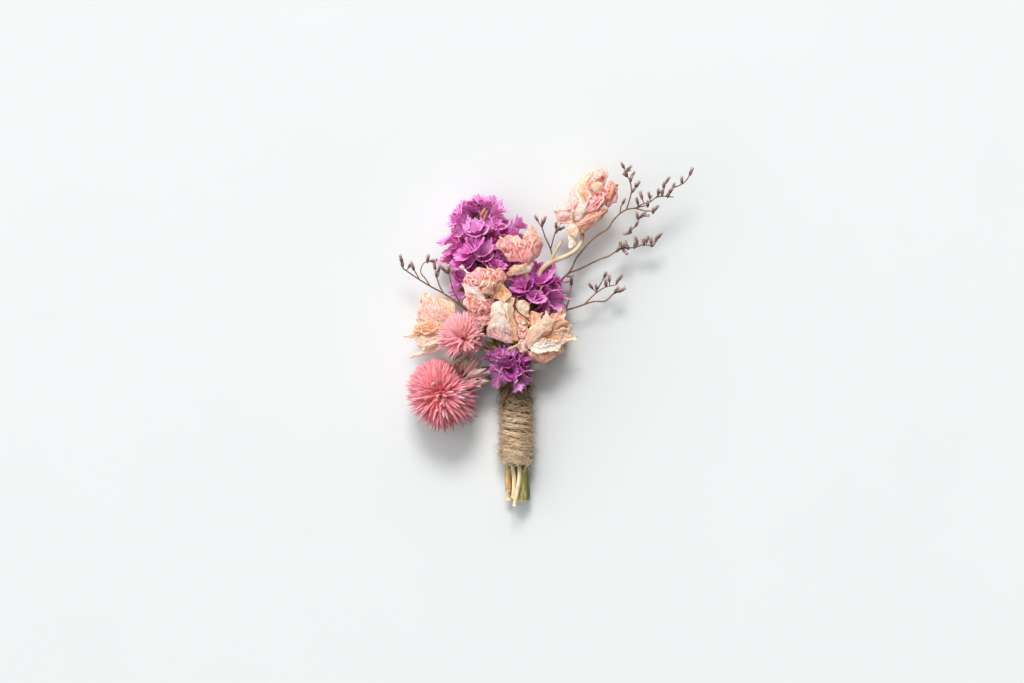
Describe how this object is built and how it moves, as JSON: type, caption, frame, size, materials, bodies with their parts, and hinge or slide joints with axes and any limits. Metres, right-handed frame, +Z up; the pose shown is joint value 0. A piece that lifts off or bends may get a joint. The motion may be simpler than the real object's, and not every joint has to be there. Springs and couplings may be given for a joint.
{
  "type": "boutonniere",
  "caption": "Small bunch of dried globe amaranth, statice, larkspur and sea lavender on cut stems, bound with jute twine.",
  "frame": {"origin": "centre of the flat underside of the twine binding, where the bunch rests or lies against a lapel", "axes": "+Z up from the surface that it lies on, +Y along the bound stems towards the flowers, +X to the right"},
  "size_m": [0.0999, 0.1177, 0.0251],
  "materials": {
    "amaranth_bract": "matte, dried coral-pink bracts",
    "larkspur_petal": "matte, crumpled peach and pink petals with veins",
    "statice_calyx": "matte, papery magenta-purple calyxes",
    "sea_lavender": "matte, thin brown twigs with mauve-brown buds",
    "dry_stem": "matte, dried tan stem",
    "green_stem": "matte, dried olive-green stem",
    "leaf": "matte, dried grey-green leaf",
    "jute": "matte, hairy jute twine"
  },
  "bodies": {
    "root": {"amaranth_big": "amaranth_bract", "amaranth_big_stem": "dry_stem", "amaranth_leaf": "leaf", "amaranth_small": "amaranth_bract", "amaranth_small_stem": "dry_stem", "amaranth_third": "amaranth_bract", "amaranth_third_stem": "dry_stem", "larkspur_centre": "larkspur_petal", "larkspur_far_left": "larkspur_petal", "larkspur_left_centre": "larkspur_petal", "larkspur_left_stem": "green_stem", "larkspur_middle_stem": "dry_stem", "larkspur_pale": "larkspur_petal", "larkspur_right_stem": "green_stem", "larkspur_top": "larkspur_petal", "larkspur_wide": "larkspur_petal", "sea_lavender_left": "sea_lavender", "sea_lavender_right": "sea_lavender", "statice_low": "statice_calyx", "statice_low_stem": "green_stem", "statice_main": "statice_calyx", "statice_main_stem": "green_stem", "statice_right": "statice_calyx", "statice_right_stem": "green_stem", "twine_binding": "jute"}
  },
  "joints": []
}
